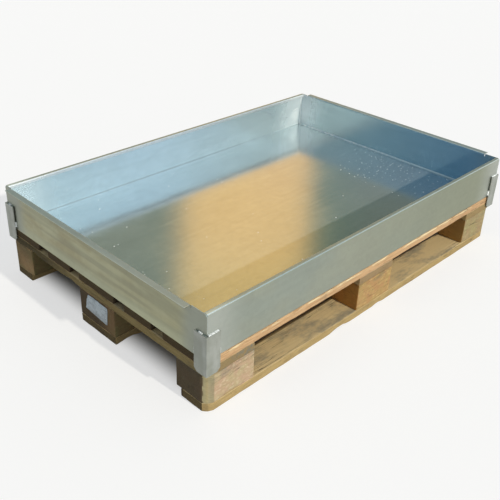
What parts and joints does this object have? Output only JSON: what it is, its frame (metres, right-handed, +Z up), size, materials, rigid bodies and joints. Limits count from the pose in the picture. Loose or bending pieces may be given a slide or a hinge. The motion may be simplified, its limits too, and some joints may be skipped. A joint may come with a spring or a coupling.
{
  "type": "stacking tray on pallet",
  "caption": "Shallow folded galvanized steel stacking tray with corner guide angles, standing on a four-way wooden pallet from which it lifts off.",
  "frame": {"origin": "middle of the pallet's underside, on the floor", "axes": "+X along the long side, +Y along the short side, +Z up"},
  "size_m": [1.234, 0.81, 0.2643],
  "materials": {
    "galvanized_sheet": "satin galvanized sheet, faintly mottled",
    "galvanized_angle": "dull galvanized angle",
    "zinc_painted_weld": "rough bright weld bead with zinc paint",
    "deck_wood": "sawn softwood, orange tan",
    "board_wood": "sawn softwood, weathered yellow tan",
    "block_wood": "sawn softwood block, weathered"
  },
  "bodies": {
    "pallet": {"bottom_board_front": "board_wood", "bottom_board_middle": "board_wood", "bottom_board_rear": "board_wood", "block_left_front": "block_wood", "block_left_middle": "block_wood", "block_left_rear": "block_wood", "block_middle_front": "block_wood", "block_middle_middle": "block_wood", "block_middle_rear": "block_wood", "block_right_front": "block_wood", "block_right_middle": "block_wood", "block_right_rear": "block_wood", "stringer_board_left": "board_wood", "stringer_board_middle": "board_wood", "stringer_board_right": "board_wood", "deck_board_front": "deck_wood", "deck_board_front_inner": "deck_wood", "deck_board_middle": "deck_wood", "deck_board_rear_inner": "deck_wood", "deck_board_rear": "deck_wood"},
    "tray": {"tray_pan": "galvanized_sheet", "end_panel_left": "galvanized_sheet", "end_panel_right": "galvanized_sheet", "end_seam_weld_left": "zinc_painted_weld", "end_seam_weld_right": "zinc_painted_weld", "guide_angle_front_left": "galvanized_angle", "guide_angle_front_right": "galvanized_angle", "guide_angle_rear_left": "galvanized_angle", "guide_angle_rear_right": "galvanized_angle", "top_weld_side_front_left": "zinc_painted_weld", "top_weld_side_front_right": "zinc_painted_weld", "top_weld_side_rear_left": "zinc_painted_weld", "top_weld_side_rear_right": "zinc_painted_weld", "top_weld_end_front_left": "zinc_painted_weld", "top_weld_end_front_right": "zinc_painted_weld", "top_weld_end_rear_left": "zinc_painted_weld", "top_weld_end_rear_right": "zinc_painted_weld", "tack_weld_side_front_left": "zinc_painted_weld", "tack_weld_side_front_right": "zinc_painted_weld", "tack_weld_side_rear_left": "zinc_painted_weld", "tack_weld_side_rear_right": "zinc_painted_weld", "tack_weld_end_front_left": "zinc_painted_weld", "tack_weld_end_front_right": "zinc_painted_weld", "tack_weld_end_rear_left": "zinc_painted_weld", "tack_weld_end_rear_right": "zinc_painted_weld"}
  },
  "joints": [
    {"name": "tray_lift", "type": "slide", "parent": "pallet", "child": "tray", "axis": [0, 0, 1], "range_m": [0, 0.15]}
  ]
}
